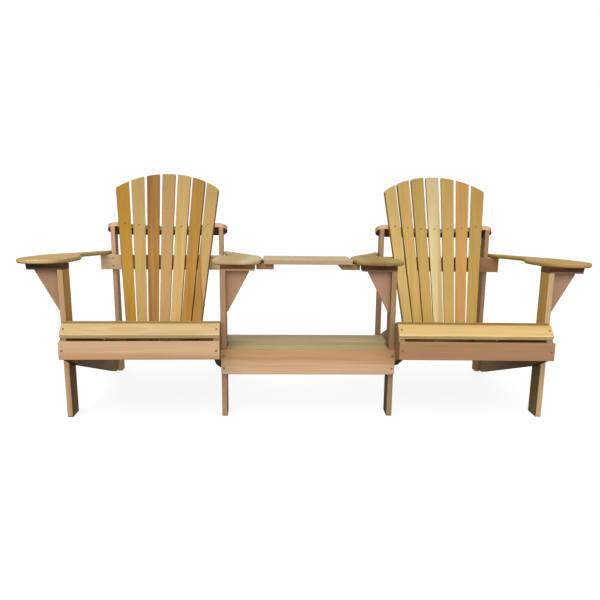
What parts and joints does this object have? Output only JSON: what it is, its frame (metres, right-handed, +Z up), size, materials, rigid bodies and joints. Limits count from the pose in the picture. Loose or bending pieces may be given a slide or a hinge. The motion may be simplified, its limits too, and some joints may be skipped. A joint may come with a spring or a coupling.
{
  "type": "companion seat bench",
  "caption": "Wooden companion seat: slatted garden chairs with fan backs, sloping seats and broad arms, joined by an arm-level table and a low shelf.",
  "frame": {"origin": "centre of the bench's outline at floor level", "axes": "+X to the right end as seen from the front, +Y to the back of the seats, +Z up"},
  "size_m": [2.12, 1.018, 0.91],
  "materials": {
    "cedar_gold": "matte",
    "cedar_pale": "matte",
    "cedar_pinkish": "matte",
    "cedar_brown": "matte",
    "screw_steel": "satin"
  },
  "bodies": {
    "root": {"left_front_leg_outer": "cedar_pinkish", "left_front_leg_inner": "cedar_pinkish", "left_rear_post_outer": "cedar_pinkish", "left_rear_post_inner": "cedar_pinkish", "left_side_rail_outer": "cedar_brown", "left_side_rail_inner": "cedar_brown", "left_arm_outer": "cedar_gold", "left_arm_inner": "cedar_gold", "left_arm_cleats": "cedar_brown", "left_arm_brackets": "cedar_pinkish", "left_upper_back_rail": "cedar_gold", "left_arm_crossbar": "cedar_pinkish", "left_lower_back_rail": "cedar_brown", "left_seat_apron": "cedar_pinkish", "left_seat_front_slat": "cedar_pale", "left_seat_slats": "cedar_gold", "left_screws": "screw_steel", "left_back_slat_1": "cedar_gold", "left_back_slat_2": "cedar_pale", "left_back_slat_3": "cedar_brown", "left_back_slat_4": "cedar_pinkish", "left_back_slat_5": "cedar_pale", "left_back_slat_6": "cedar_gold", "left_back_slat_7": "cedar_pale", "right_front_leg_outer": "cedar_pinkish", "right_front_leg_inner": "cedar_pinkish", "right_rear_post_outer": "cedar_pinkish", "right_rear_post_inner": "cedar_pinkish", "right_side_rail_outer": "cedar_brown", "right_side_rail_inner": "cedar_brown", "right_arm_outer": "cedar_gold", "right_arm_inner": "cedar_gold", "right_arm_cleats": "cedar_brown", "right_arm_brackets": "cedar_pinkish", "right_upper_back_rail": "cedar_gold", "right_arm_crossbar": "cedar_pinkish", "right_lower_back_rail": "cedar_brown", "right_seat_apron": "cedar_pinkish", "right_seat_front_slat": "cedar_pale", "right_seat_slats": "cedar_gold", "right_screws": "screw_steel", "right_back_slat_1": "cedar_pale", "right_back_slat_2": "cedar_gold", "right_back_slat_3": "cedar_gold", "right_back_slat_4": "cedar_pale", "right_back_slat_5": "cedar_gold", "right_back_slat_6": "cedar_pinkish", "right_back_slat_7": "cedar_gold", "table_board_1": "cedar_gold", "table_board_2": "cedar_pinkish", "table_board_3": "cedar_gold", "table_board_4": "cedar_pinkish", "table_cleats": "cedar_brown", "shelf_board_1": "cedar_gold", "shelf_board_2": "cedar_pinkish", "shelf_board_3": "cedar_gold", "shelf_board_4": "cedar_pinkish", "shelf_fascia": "cedar_pinkish", "shelf_ledgers": "cedar_brown", "middle_screws": "screw_steel"}
  },
  "joints": []
}
